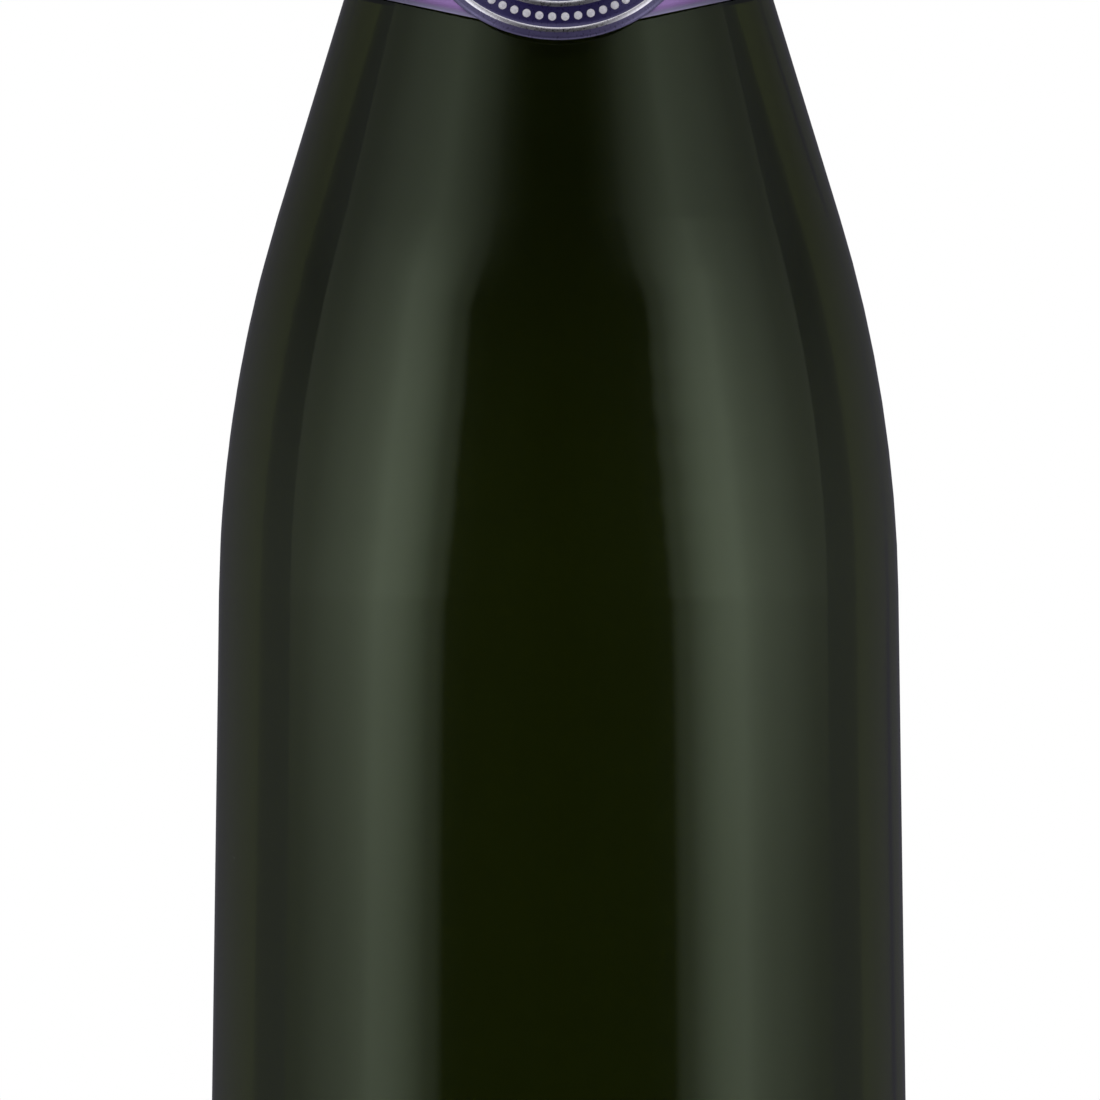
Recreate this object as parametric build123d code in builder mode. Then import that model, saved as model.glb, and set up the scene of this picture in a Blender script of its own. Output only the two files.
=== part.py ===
from build123d import *
import os
from math import acos, cos, degrees, pi, radians, sin, tan

os.makedirs("parts", exist_ok=True)

# A 75 cl champagne bottle, filled, corked, wired and dressed in foil. Lengths are millimetres.
# Z points up, the origin is in the middle of the face it stands on, and the front is towards -Y.

# Glass, outside: straight runs between corners, and a bend at each corner. The shoulder's height is
# a share of the glass's, and the reach of a long bend is how far from its corner it starts.
glass_height = 300.0
foot_radius = 44.7
heel_bend = 10.0
shoulder_share = 0.495
shoulder_radius = 42.6
shoulder_reach = 24.3
neck_length = 61.9
neck_foot_radius = 15.2
neck_top_radius = 13.9
neck_reach = 27.0

# Mouth: a lip, a groove, and the ring that the wire cage hooks under.
finish_depth = 16.5
lip_radius = 14.3
lip_depth = 7.5
lip_bevel = 1.5
groove_radius = 13.2
ring_radius = 15.5
ring_depth = 5.5
ring_bevel = 1.1
mouth_bevel = 0.8

# Punt: the hollow under the base.
punt_mouth_radius = 31.0
punt_mouth_bend = 4.0
punt_depth = 34.0
punt_top_radius = 10.0
punt_top_bend = 9.0
punt_crown = 1.5

# Walls and cavity.
body_wall = 5.2
neck_wall = 4.8
base_floor = 10.0
punt_wall = 8.0
crown_wall = 11.0
trough_bevel_share = 0.4
bore_radius = 9.0
bore_depth = 38.0
cavity_bend_share = 5.4

# Wine, up to its level under the lip.
headspace_depth = 78.0
wine_gap = 0.1

# Cork: a granulated body with two discs of natural cork on the end that meets the wine.
cork_depth = 25.5
cork_rise = 20.5
cork_fit = 0.05
cork_head_radius = 15.5
cork_head_bend = 4.0
cork_flare = 6.0
cork_throat = 0.8
cork_throat_bend = 3.0
cork_flare_bend = 3.5
cork_edge = 0.7
disc_thickness = 6.0

# Wire cage: four twisted legs from a ring on the cork's head to eyes round the belt wire.
wire_radius = 0.5
wire_sides = 5
strand_play = 0.08
seat_gap = 0.3
leg_count = 4
leg_turns = 5
steps_per_turn = 6
top_ring_radius = 12.8
ring_step = 10
leg_top_angle = 60
twist_top_angle = 48
spread_length = 1.9
eye_play = 0.15
eye_clearance = 0.2
belt_drop = 0.35
eye_rise = 1.55
eye_start_angle = 15
eye_end_angle = -260
eye_steps = 9

# Tail of the belt wire: its two ends twisted together, folded up flat, with a loop to turn.
tail_rise = 3.0
tail_length = 18.0
tail_turns = 4
tail_spread = 2.6
loop_length = 9.0
loop_half_width = 3.0
loop_steps = 7
belt_steps = 14

# Plaque: a thin metal cap between the cork and the foil, pressed over the cage's top ring.
plaque_sheet = 0.3
plaque_dish_radius = 9.8
plaque_step = 1.0
plaque_rim_radius = 14.6
plaque_rim_slope = 0.6
plaque_rim_drop = 0.9
plaque_snug = 0.1
notch_play = 0.6
notch_headroom = 0.3

# Foil: a hood over the cork and cage, a tear tape round its edge, and a skirt down the neck.
foil = 0.25
hood_bend = 4.5
hood_rim_radius = 11.5
hood_drop = 20.5
tape_sheet = 0.2
tape_height = 5.0
tape_slit = 6
wrap_gap = 0.1
tear_gap = 0.3
tab_angle = 28
flare_depth = 11.0
skirt_lap = 5.0

# Collar: a printed band round the foot of the neck, drawn out to a point in front, and a medallion.
collar_drop = 91.1
collar_side_height = 17.4
collar_point = 5.2
collar_sheet = 0.2
medallion_half_width = 17.5
medallion_half_height = 14.5
medallion_sheet = 0.35

overrun = 5.0

# Heights and radii that follow from the sizes above.
ring_foot = glass_height - finish_depth
ring_top = ring_foot + ring_depth
lip_foot = glass_height - lip_depth
neck_foot = glass_height - neck_length
shoulder_height = shoulder_share * glass_height
punt_edge = punt_depth - punt_crown
punt_lean = (punt_mouth_radius - punt_top_radius) / punt_edge
cork_top = glass_height + cork_rise
cork_foot = glass_height - cork_depth
shank_radius = bore_radius - cork_fit
collar_middle = glass_height - collar_drop


def bend_radius(reach, low, corner, high):
    """Radius of the bend that starts this far from a corner between two straight runs."""
    turn = (Vector(*corner) - Vector(*low)).get_angle(Vector(*high) - Vector(*corner))
    return reach / tan(radians(turn / 2))


def between(height, low, high):
    """Radius at a height on the straight run between two outline corners, each (radius, height)."""
    share = (height - low[1]) / (high[1] - low[1])
    return low[0] + share * (high[0] - low[0])


def body_radius(height):
    return between(height, (foot_radius, 0), (shoulder_radius, shoulder_height))


def cone_radius(height):
    return between(height, (shoulder_radius, shoulder_height), (neck_foot_radius, neck_foot))


def neck_radius(height):
    return between(height, (neck_foot_radius, neck_foot), (neck_top_radius, ring_foot))


# Bottle. The outline turned round Z, less the cavity and the punt.
foot_corner = (foot_radius, 0)
shoulder_corner = (shoulder_radius, shoulder_height)
neck_corner = (neck_foot_radius, neck_foot)
ring_corner = (neck_top_radius, ring_foot)
shoulder_bend = bend_radius(shoulder_reach, foot_corner, shoulder_corner, neck_corner)
neck_bend = bend_radius(neck_reach, shoulder_corner, neck_corner, ring_corner)
cavity_neck = (neck_foot_radius - neck_wall, neck_foot)
cavity_shoulder = (shoulder_radius - body_wall, shoulder_height)
cavity_top = punt_edge + crown_wall
cavity_top_radius = punt_mouth_radius + punt_wall - punt_lean * cavity_top
trough_radius = punt_mouth_radius + punt_wall - punt_lean * base_floor
trough_width = body_radius(base_floor) - body_wall - trough_radius
trough_bevel = trough_bevel_share * trough_width
cavity_neck_bend = cavity_bend_share * (neck_length - bore_depth)

with BuildSketch(Plane.XZ) as cavity:
    with BuildLine():
        side = FilletPolyline(
            (0, punt_depth + crown_wall),
            (cavity_top_radius, cavity_top),
            (trough_radius, base_floor),
            (trough_radius + trough_width - trough_bevel, base_floor),
            (trough_radius + trough_width, base_floor + trough_bevel),
            cavity_shoulder,
            cavity_neck,
            (bore_radius, glass_height - bore_depth),
            (bore_radius, glass_height),
            radius=[punt_top_bend, 0, 0, 0, shoulder_bend - body_wall, cavity_neck_bend, 0],
        )
        Polyline(side @ 1, (0, glass_height), side @ 0)
    make_face()

with BuildSketch(Plane.XZ) as punt:
    with BuildLine():
        side = FilletPolyline(
            (punt_mouth_radius, 0),
            (punt_top_radius, punt_edge),
            (0, punt_depth),
            radius=[punt_top_bend],
        )
        Polyline(side @ 1, (0, 0), side @ 0)
    make_face()

with BuildPart() as glass_bottle:
    with BuildSketch(Plane.XZ):
        with BuildLine():
            side = FilletPolyline(
                (0, 0),
                (foot_radius, 0),
                (shoulder_radius, shoulder_height),
                (neck_foot_radius, neck_foot),
                (neck_top_radius, ring_foot),
                (ring_radius - ring_bevel, ring_foot),
                (ring_radius, ring_foot + ring_bevel),
                (ring_radius, ring_top - ring_bevel),
                (ring_radius - ring_bevel, ring_top),
                (groove_radius, ring_top),
                (groove_radius, lip_foot),
                (lip_radius, lip_foot),
                (lip_radius, glass_height - lip_bevel),
                (lip_radius - lip_bevel, glass_height),
                (0, glass_height),
                radius=[heel_bend, shoulder_bend, neck_bend] + 10 * [0],
            )
            Line(side @ 1, side @ 0)
        make_face()
    revolve(axis=Axis.Z)
    revolve(cavity.sketch, axis=Axis.Z, mode=Mode.SUBTRACT)
    revolve(punt.sketch, axis=Axis.Z, mode=Mode.SUBTRACT)
    bore_edge = glass_bottle.edges().group_by(Axis.Z)[-1].sort_by(SortBy.RADIUS)[0]
    chamfer(bore_edge, mouth_bevel)
    punt_edges = glass_bottle.edges().group_by(Axis.Z)[0].sort_by(SortBy.RADIUS)[0]
    fillet(punt_edges, punt_mouth_bend)
glass_bottle.part.label = "glass_bottle"
export_step(glass_bottle.part, "parts/glass_bottle.step")

# Wine. It fills the cavity up to its level.
with BuildPart() as wine:
    with BuildSketch(Plane.XZ):
        add(cavity.sketch)
        offset(amount=-wine_gap)
        with Locations((0, glass_height - headspace_depth)):
            Rectangle(4 * foot_radius, glass_height, align=(Align.CENTER, Align.MIN), mode=Mode.SUBTRACT)
    revolve(axis=Axis.Z)
wine.part.label = "wine"
export_step(wine.part, "parts/wine.step")

# Cork. The shank is squeezed into the bore and the head swells out over the lip.
disc_joint = cork_foot + disc_thickness
body_foot = disc_joint + disc_thickness
flare_top = glass_height + cork_flare

with BuildPart() as cork_body:
    with BuildSketch(Plane.XZ):
        with BuildLine():
            side = FilletPolyline(
                (0, body_foot),
                (shank_radius, body_foot),
                (shank_radius, glass_height + cork_throat),
                (cork_head_radius, flare_top),
                (cork_head_radius, cork_top),
                (0, cork_top),
                radius=[0, cork_throat_bend, cork_flare_bend, cork_head_bend],
            )
            Line(side @ 1, side @ 0)
        make_face()
    revolve(axis=Axis.Z)
cork_body.part.label = "cork_body"
export_step(cork_body.part, "parts/cork_body.step")

with BuildPart() as cork_disc_upper:
    with BuildSketch(Plane.XY.offset(disc_joint)):
        Circle(shank_radius)
    extrude(amount=disc_thickness)
cork_disc_upper.part.label = "cork_disc_upper"
export_step(cork_disc_upper.part, "parts/cork_disc_upper.step")

with BuildPart() as cork_disc_lower:
    with BuildSketch(Plane.XY.offset(cork_foot)):
        Circle(shank_radius)
    extrude(amount=disc_thickness)
    chamfer(cork_disc_lower.faces().sort_by(Axis.Z)[0].edges(), cork_edge)
cork_disc_lower.part.label = "cork_disc_lower"
export_step(cork_disc_lower.part, "parts/cork_disc_lower.step")


# Wire work. Each wire is a many-sided tube along straight runs between points.
def spot(azimuth, radius, across, height):
    """A point at an azimuth from the front, `radius` out and `across` to the side of it."""
    turn = radians(azimuth)
    return Vector(
        radius * sin(turn) + across * cos(turn),
        across * sin(turn) - radius * cos(turn),
        height,
    )


def wire(points):
    """A wire with flat sides, straight from point to point and mitred where it turns."""
    with BuildPart() as run:
        with BuildLine() as path:
            Polyline(*points)
        with BuildSketch(Plane(origin=path.line @ 0, z_dir=path.line % 0)):
            RegularPolygon(wire_radius, wire_sides)
        sweep(transition=Transition.RIGHT)
    return run.part


strand_offset = wire_radius + strand_play
corner_radius = cork_head_radius - cork_head_bend
corner_height = cork_top - cork_head_bend
top_ring_height = cork_top + seat_gap + wire_radius
ring_arm = top_ring_height - corner_height
leg_arm = cork_head_bend + seat_gap + wire_radius + strand_offset
leg_radius = corner_radius + leg_arm
eye_radius = 2 * wire_radius + eye_play
belt_height = ring_foot - belt_drop - wire_radius - eye_radius
belt_radius = neck_radius(belt_height) + eye_clearance + wire_radius + eye_radius
leg_foot = belt_height + eye_radius + eye_rise
bend_length = radians(twist_top_angle) * leg_arm
leg_length = bend_length + corner_height - leg_foot
leg_steps = leg_turns * steps_per_turn


def leg_spot(length, turn):
    """A point on one strand, this far down the leg, with the twist turned this many degrees."""
    out = strand_offset * sin(radians(turn))
    across = strand_offset * cos(radians(turn))
    if length > bend_length:
        return spot(0, leg_radius + out, across, corner_height + bend_length - length)
    arm = ring_arm + (leg_arm - ring_arm) * min(1, length / spread_length) + out
    angle = radians(twist_top_angle) - length / leg_arm
    return spot(0, corner_radius + arm * cos(angle), across, corner_height + arm * sin(angle))


def leg_strand(first_turn):
    """Points down one strand of a leg."""
    return [
        leg_spot(leg_length * i / leg_steps, first_turn + 360 * i / steps_per_turn)
        for i in range(leg_steps + 1)
    ]


def leg_head(side):
    """Points from the top ring, halfway to the next leg, to the head of a strand on this side."""
    turn = 180 / leg_count
    half_step = radians(ring_step / 2)
    points = [spot(side * turn, top_ring_radius * cos(half_step), 0, top_ring_height)]
    turn -= ring_step / 2
    while turn > ring_step:
        points.append(spot(side * turn, top_ring_radius, 0, top_ring_height))
        turn -= ring_step
    lean = radians(leg_top_angle)
    head_radius = corner_radius + ring_arm * cos(lean)
    head_height = corner_height + ring_arm * sin(lean)
    elbow_radius = (top_ring_radius + head_radius) / 2
    points.append(spot(0, elbow_radius, side * 2 * strand_offset, (top_ring_height + head_height) / 2))
    points.append(spot(0, head_radius, side * strand_offset, head_height))
    return points


def eye():
    """Points round the belt wire, from the outer strand's foot to the inner strand's."""
    points = []
    for i in range(eye_steps + 1):
        share = i / eye_steps
        angle = radians(eye_start_angle + share * (eye_end_angle - eye_start_angle))
        radius = belt_radius + eye_radius * cos(angle)
        across = strand_offset * (2 * share - 1)
        points.append(spot(0, radius, across, belt_height + eye_radius * sin(angle)))
    return points


quarter_points = leg_head(-1) + leg_strand(180) + eye()
quarter_points += leg_strand(0)[::-1] + leg_head(1)[::-1]
quarter_turn = 180 / leg_count
quarter = wire(quarter_points)

with BuildPart() as cage_wire:
    with PolarLocations(0, leg_count, start_angle=quarter_turn):
        add(quarter)
cage_wire.part.label = "cage_wire"
export_step(cage_wire.part, "parts/cage_wire.step")

# Belt wire. It threads the four eyes, and its ends are twisted into the tail and its loop.
tail_foot = belt_height + tail_rise
tail_steps = tail_turns * steps_per_turn
loop_foot = tail_foot + tail_length
loop_middle = loop_foot + loop_length / 2
loop_start = acos(strand_offset / loop_half_width)


def belt_half(side):
    """Points from the back of the belt to the top of the loop, on one side."""
    step = (180 - degrees(tail_spread / belt_radius)) / (belt_steps + 0.5)
    points = [spot(180, belt_radius * cos(radians(step / 2)), 0, belt_height)]
    for i in range(belt_steps + 1):
        points.append(spot(side * (180 - (i + 0.5) * step), belt_radius, 0, belt_height))
    middle_radius = (belt_radius + leg_radius) / 2
    points.append(spot(0, middle_radius, side * 2 * strand_offset, belt_height + wire_radius))
    for i in range(tail_steps + 1):
        turn = radians(360 * i / steps_per_turn)
        out = leg_radius + strand_offset * side * sin(turn)
        points.append(spot(0, out, side * strand_offset * cos(turn), tail_foot + tail_length * i / tail_steps))
    step = (loop_start + pi / 2) / (loop_steps + 0.5)
    for i in range(1, loop_steps + 1):
        across = side * loop_half_width * cos(i * step - loop_start)
        height = loop_middle + loop_length / 2 * sin(i * step - loop_start)
        points.append(spot(0, leg_radius, across, height))
    points.append(spot(0, leg_radius, 0, height))
    return points


with BuildPart() as belt_wire:
    for side in (1, -1):
        add(wire(belt_half(side)))
belt_wire.part.label = "belt_wire"
export_step(belt_wire.part, "parts/belt_wire.step")

# Plaque. Its dish rests on the cork, its channel covers the top ring and its rim lets the legs out.
dish_height = cork_top + seat_gap
channel_height = top_ring_height + wire_radius + plaque_snug
rim_foot = cork_top - plaque_rim_drop

with BuildPart() as muselet_plaque:
    with BuildSketch(Plane.XZ):
        with BuildLine():
            Polyline(
                (0, dish_height),
                (plaque_dish_radius, dish_height),
                (plaque_dish_radius + plaque_step, channel_height),
                (plaque_rim_radius - plaque_rim_slope, channel_height),
                (plaque_rim_radius, channel_height - plaque_rim_slope),
                (plaque_rim_radius, rim_foot),
            )
            offset(amount=plaque_sheet, side=Side.LEFT, kind=Kind.INTERSECTION)
        make_face()
    revolve(axis=Axis.Z)
    notch_width = 2 * (strand_offset + wire_radius + notch_play)
    notch_height = ring_arm * sin(radians(twist_top_angle)) + corner_height + wire_radius + notch_headroom
    with BuildSketch(Plane.XY.offset(notch_height)):
        with PolarLocations(plaque_rim_radius, leg_count, start_angle=quarter_turn):
            Rectangle(2 * plaque_rim_slope + plaque_sheet, notch_width)
    extrude(amount=-overrun, mode=Mode.SUBTRACT)
muselet_plaque.part.label = "muselet_plaque"
export_step(muselet_plaque.part, "parts/muselet_plaque.step")

# Hood. A foil cap with its rim folded in on top, straight enough inside to lift off over the cage.
hood_inside = leg_radius + strand_offset + wire_radius + seat_gap
hood_ceiling = channel_height + plaque_sheet + seat_gap
hood_foot = glass_height - hood_drop

with BuildPart() as foil_hood:
    with BuildSketch(Plane.XZ):
        with BuildLine():
            FilletPolyline(
                (hood_rim_radius, hood_ceiling),
                (hood_inside, hood_ceiling),
                (hood_inside, hood_foot),
                radius=[hood_bend],
            )
            offset(amount=foil, side=Side.LEFT)
        make_face()
    revolve(axis=Axis.Z)
foil_hood.part.label = "foil_hood"
export_step(foil_hood.part, "parts/foil_hood.step")

with BuildPart() as foil_top:
    with BuildSketch(Plane.XY.offset(hood_ceiling + foil)):
        Circle(hood_inside - hood_bend)
    extrude(amount=foil)
foil_top.part.label = "foil_top"
export_step(foil_top.part, "parts/foil_top.step")

# Tear tape round the hood's lower edge, open at a slit, and the free end that a finger pulls.
tape_inside = hood_inside + foil + wrap_gap
tab_inside = tape_inside + tape_sheet + seat_gap

with BuildPart() as tear_tape:
    with BuildSketch(Plane.XZ):
        with Locations((tape_inside, hood_foot)):
            Rectangle(tape_sheet, tape_height, align=(Align.MIN, Align.MIN))
    revolve(axis=Axis.Z, revolution_arc=360 - tape_slit)
tear_tape.part.label = "tear_tape"
export_step(tear_tape.part, "parts/tear_tape.step")

with BuildPart() as tear_tab:
    with BuildSketch(Plane.XZ):
        with Locations((tab_inside, hood_foot)):
            Rectangle(tape_sheet, tape_height, align=(Align.MIN, Align.MIN))
    revolve(axis=Axis.Z, revolution_arc=tab_angle)
    tab_tip = tear_tab.faces().sort_by(Axis.X)[0]
    fillet(tab_tip.edges().filter_by(GeomType.LINE).group_by(SortBy.LENGTH)[0], tape_height / 3)
tear_tab.part.label = "tear_tab"
export_step(tear_tab.part, "parts/tear_tab.step")

# What the foil skirt and the collar are wrapped on: the neck, and the flare down from the hood.
skirt_top = hood_foot - tear_gap
flare_foot = skirt_top - flare_depth
flare_lean = (hood_inside - neck_radius(flare_foot)) / flare_depth

with BuildSketch(Plane.XZ) as neck_shape:
    with BuildLine():
        side = FilletPolyline(
            (body_radius(base_floor), base_floor),
            (shoulder_radius, shoulder_height),
            (neck_foot_radius, neck_foot),
            (neck_radius(flare_foot), flare_foot),
            (hood_inside + flare_lean * overrun, skirt_top + overrun),
            radius=[shoulder_bend, neck_bend, 0],
        )
        Polyline(side @ 1, (0, skirt_top + overrun), (0, base_floor), side @ 0)
    make_face()


def wrapped(gap, sheet, low, high):
    """A sheet this far off the neck, all the way round between two heights."""
    outside = offset(neck_shape.sketch_local, gap + sheet, mode=Mode.PRIVATE)
    inside = offset(neck_shape.sketch_local, gap, mode=Mode.PRIVATE)
    with BuildPart() as sleeve:
        with BuildSketch(Plane.XZ):
            add(outside)
            add(inside, mode=Mode.SUBTRACT)
            with Locations((0, low)):
                Rectangle(shoulder_radius, high - low, align=(Align.MIN, Align.MIN), mode=Mode.INTERSECT)
        revolve(axis=Axis.Z)
    return sleeve.part


# Foil skirt. Its lower edge ends under the collar.
collar_low = collar_middle - collar_side_height / 2
collar_high = collar_middle + collar_side_height / 2

with BuildPart() as foil_skirt:
    add(wrapped(wrap_gap, foil, collar_high - skirt_lap, skirt_top))
foil_skirt.part.label = "foil_skirt"
export_step(foil_skirt.part, "parts/foil_skirt.step")

# Collar. Level at the back and sides, and drawn to a point down and up in front.
collar_gap = 2 * wrap_gap + foil
collar_edge = cone_radius(collar_middle) + collar_gap

with BuildPart() as collar_cut:
    with BuildSketch(Plane.XZ):
        with BuildLine():
            right = Polyline(
                (0, collar_low - collar_point),
                (collar_edge, collar_low),
                (shoulder_radius, collar_low),
                (shoulder_radius, collar_high),
                (collar_edge, collar_high),
                (0, collar_high + collar_point),
            )
            mirror(right, about=Plane.YZ)
        make_face()
    extrude(amount=shoulder_radius)
    with BuildSketch(Plane.XZ):
        with Locations((0, collar_middle)):
            Rectangle(2 * shoulder_radius, collar_side_height)
    extrude(amount=-shoulder_radius)

with BuildPart() as collar_label:
    add(wrapped(collar_gap, collar_sheet, collar_low - collar_point, collar_high + collar_point))
    add(collar_cut.part, mode=Mode.INTERSECT)
collar_label.part.label = "collar_label"
export_step(collar_label.part, "parts/collar_label.step")

# Medallion. An oval sheet on the front of the collar.
medallion_gap = collar_gap + collar_sheet + wrap_gap
medallion_low = collar_middle - medallion_half_height
medallion_high = collar_middle + medallion_half_height

with BuildPart() as collar_medallion:
    add(wrapped(medallion_gap, medallion_sheet, medallion_low - overrun, medallion_high + overrun))
    with BuildSketch(Plane.XZ):
        with Locations((0, collar_middle)):
            Ellipse(medallion_half_width, medallion_half_height)
    extrude(amount=shoulder_radius, mode=Mode.INTERSECT)
collar_medallion.part.label = "collar_medallion"
export_step(collar_medallion.part, "parts/collar_medallion.step")
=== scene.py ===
from math import acos, atan2, cos, pi, radians, sin, sqrt, tan

import bmesh
import bpy
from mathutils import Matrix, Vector, noise


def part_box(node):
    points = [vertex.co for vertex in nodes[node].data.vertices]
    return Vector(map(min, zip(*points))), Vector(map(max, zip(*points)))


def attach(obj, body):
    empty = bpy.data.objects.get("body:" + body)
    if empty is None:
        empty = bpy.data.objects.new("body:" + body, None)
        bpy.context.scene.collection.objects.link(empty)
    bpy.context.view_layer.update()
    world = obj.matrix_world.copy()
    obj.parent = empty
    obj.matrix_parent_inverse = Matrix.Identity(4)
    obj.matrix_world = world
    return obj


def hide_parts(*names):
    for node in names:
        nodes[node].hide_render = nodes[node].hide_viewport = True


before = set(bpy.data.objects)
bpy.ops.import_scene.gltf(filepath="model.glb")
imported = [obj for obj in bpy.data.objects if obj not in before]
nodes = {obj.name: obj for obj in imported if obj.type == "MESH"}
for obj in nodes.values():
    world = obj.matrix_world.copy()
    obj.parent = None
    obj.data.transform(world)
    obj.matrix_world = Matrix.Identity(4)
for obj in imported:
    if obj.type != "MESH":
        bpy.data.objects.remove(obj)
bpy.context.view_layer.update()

# A filled and corked champagne bottle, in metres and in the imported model's own frame: Z points up, the
# origin is in the middle of the base, and the front is towards -Y.
mm = 0.001


# Bottle. One piece of dark green glass, blown in a two-part mould and fire polished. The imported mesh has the
# real outline, so it stays. The material adds the two mould seams, the base plate's seam, the knurling on
# the ring that it stands on, a few seeds, and the slow waviness of its long walls.
glass_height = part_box("glass_bottle")[1].z
glass_tint = "#90a17a"
glass_tint_deep = "#82946c"
glass_tint_shoulder = "#748262"
glass_reflection = "#ebffdc"
glass_volume = "#b9b97f"
glass_density = 430
wall_thickens = 125 * mm
wall_thick = 180 * mm
wave_length = 45 * mm
wave_height = 0.06 * mm
wave_squeeze = (1, 1, 0.3)
seam_half = 0.3 * mm
seam_height = 0.1 * mm
plate_seam = 5 * mm
knurl_count = 110
knurl_height = 0.3 * mm
knurl_inside = 32 * mm
knurl_outside = 40 * mm
knurl_ends = 4 * mm
knurl_whole = 2 * mm
seed_spacing = 14 * mm
seed_size = 0.25 * mm
dust_size = 4 * mm
dust_from = 0.35
dust_to = 0.75


def linear(hex_colour):
    """The linear colour that an sRGB hex value stands for."""
    channels = [int(hex_colour[i : i + 2], 16) / 255 for i in (1, 3, 5)]
    return [c / 12.92 if c <= 0.04045 else ((c + 0.055) / 1.055) ** 2.4 for c in channels] + [1]


def blank(name):
    """A material with no nodes yet."""
    material = bpy.data.materials.new(name)
    material.use_nodes = True
    material.node_tree.nodes.clear()
    return material


def add(material, kind, inputs=(), output=0, **settings):
    """Adds a node with its settings, and its inputs' values and links, and gives back one output."""
    node = material.node_tree.nodes.new("ShaderNode" + kind)
    for name, value in settings.items():
        setattr(node, name, value)
    for name, value in dict(inputs).items():
        if isinstance(value, bpy.types.NodeSocket):
            material.node_tree.links.new(value, node.inputs[name])
        else:
            node.inputs[name].default_value = value
    return node.outputs[output] if node.outputs else None


def blend(material, share, first, second):
    """The first colour at a share of 0 and the second at 1. Each is a hex value or a node's output."""
    first, second = (linear(colour) if isinstance(colour, str) else colour for colour in (first, second))
    # A colour mix takes its share at input 0 and its colours at 6 and 7, and gives the result at output 2.
    return add(material, "Mix", {0: share, 6: first, 7: second}, 2, data_type="RGBA")


def compute(material, operation, *values):
    """The result of one operation on numbers and nodes' outputs."""
    return add(material, "Math", dict(enumerate(values)), operation=operation)


def rescale(material, value, start, end, least=0, most=1, **settings):
    """Maps the range from start to end to that from least to most, and keeps to it past the ends."""
    ends = {"Value": value, "From Min": start, "From Max": end, "To Min": least, "To Max": most}
    return add(material, "MapRange", ends, **settings)


def give_surface(material, colour, rough, normal, others):
    """Ends a material with a surface of this colour, roughness and relief, and its other inputs by name."""
    inputs = {"Base Color": colour, "Roughness": rough, "Normal": normal, **others}
    add(material, "OutputMaterial", {"Surface": add(material, "BsdfPrincipled", inputs)})


def seam_line(material, distance):
    """A narrow round ridge of height 1 where a distance is 0."""
    distance = compute(material, "ABSOLUTE", distance)
    return rescale(material, distance, 0, seam_half, least=1, most=0, interpolation_type="SMOOTHSTEP")


def ring_band(material, spot, inside, outside):
    """1 between two distances from the bottle's axis, with soft borders, and 0 past them."""
    flat_spot = add(material, "Mapping", {"Vector": spot, "Scale": (1, 1, 0)})
    out = add(material, "VectorMath", {0: flat_spot}, "Value", operation="LENGTH")
    inner = rescale(material, out, inside, inside + mm)
    outer = rescale(material, out, outside, outside - mm)
    return compute(material, "MULTIPLY", inner, outer)


def waves_round(material, spot, count):
    """So many even waves round the bottle's axis, from -1 to 1."""
    turn = add(material, "TexGradient", {"Vector": spot}, 1, gradient_type="RADIAL")
    turn = compute(material, "MULTIPLY", turn, count * 2 * pi)
    return compute(material, "SINE", turn)


# Fire-polished soda-lime glass: a wet shine with slow waves in it, and a yellow green that is near black
# where the light crosses both walls. Most of the colour is in the volume, and the rest is on the surface.
glass = blank("champagne_green_glass")
spot = add(glass, "TexCoord", output="Object")
long_spot = add(glass, "Mapping", {"Vector": spot, "Scale": wave_squeeze})
wave = add(glass, "TexNoise", {"Vector": long_spot, "Scale": 1 / wave_length})
normal = add(glass, "Bump", {"Height": wave, "Distance": wave_height})
from_halves = add(glass, "SeparateXYZ", {0: spot}, "Y")
seam = seam_line(glass, from_halves)
normal = add(glass, "Bump", {"Height": seam, "Distance": seam_height, "Normal": normal})
height = add(glass, "SeparateXYZ", {0: spot}, "Z")
from_plate = compute(glass, "SUBTRACT", height, plate_seam)
seam = seam_line(glass, from_plate)
normal = add(glass, "Bump", {"Height": seam, "Distance": seam_height, "Normal": normal})
band = ring_band(glass, spot, knurl_inside, knurl_outside)
lower = rescale(glass, height, knurl_ends, knurl_whole)
band = compute(glass, "MULTIPLY", band, lower)
teeth = waves_round(glass, spot, knurl_count)
knurl = compute(glass, "MULTIPLY", teeth, band)
normal = add(glass, "Bump", {"Height": knurl, "Distance": knurl_height, "Normal": normal})
seeds = add(glass, "TexVoronoi", {"Vector": spot, "Scale": 1 / seed_spacing})
seed = rescale(glass, seeds, seed_size / seed_spacing, 0)
normal = add(glass, "Bump", {"Height": seed, "Distance": seed_size, "Normal": normal})
dust = add(glass, "TexNoise", {"Vector": spot, "Scale": 1 / dust_size, "Detail": 4.0})
rough = rescale(glass, dust, dust_from, dust_to, least=0.03, most=0.07)
tint = blend(glass, wave, glass_tint, glass_tint_deep)
thick = rescale(glass, height, wall_thickens, wall_thick, interpolation_type="SMOOTHSTEP")
tint = blend(glass, thick, tint, glass_tint_shoulder)
surface = add(glass, "BsdfPrincipled", {
    "Base Color": tint,
    "Roughness": rough,
    "Normal": normal,
    "IOR": 1.52,
    "Transmission Weight": 1.0,
    "Specular Tint": linear(glass_reflection),
})
volume = add(glass, "VolumeAbsorption", {"Color": linear(glass_volume), "Density": glass_density})
add(glass, "OutputMaterial", {"Surface": surface, "Volume": volume})
nodes["glass_bottle"].material_slots[0].material = glass


# Wine. Pale straw, and still while the bottle is shut, because its gas stays dissolved. It fills the bottle
# up to its level in the neck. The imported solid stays.
wine_straw = "#efe0a4"
wine_gold = "#e6d28a"
wine_cloud = 35 * mm
wine_swell = 0.05 * mm
wine_rough = 0.0

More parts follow.
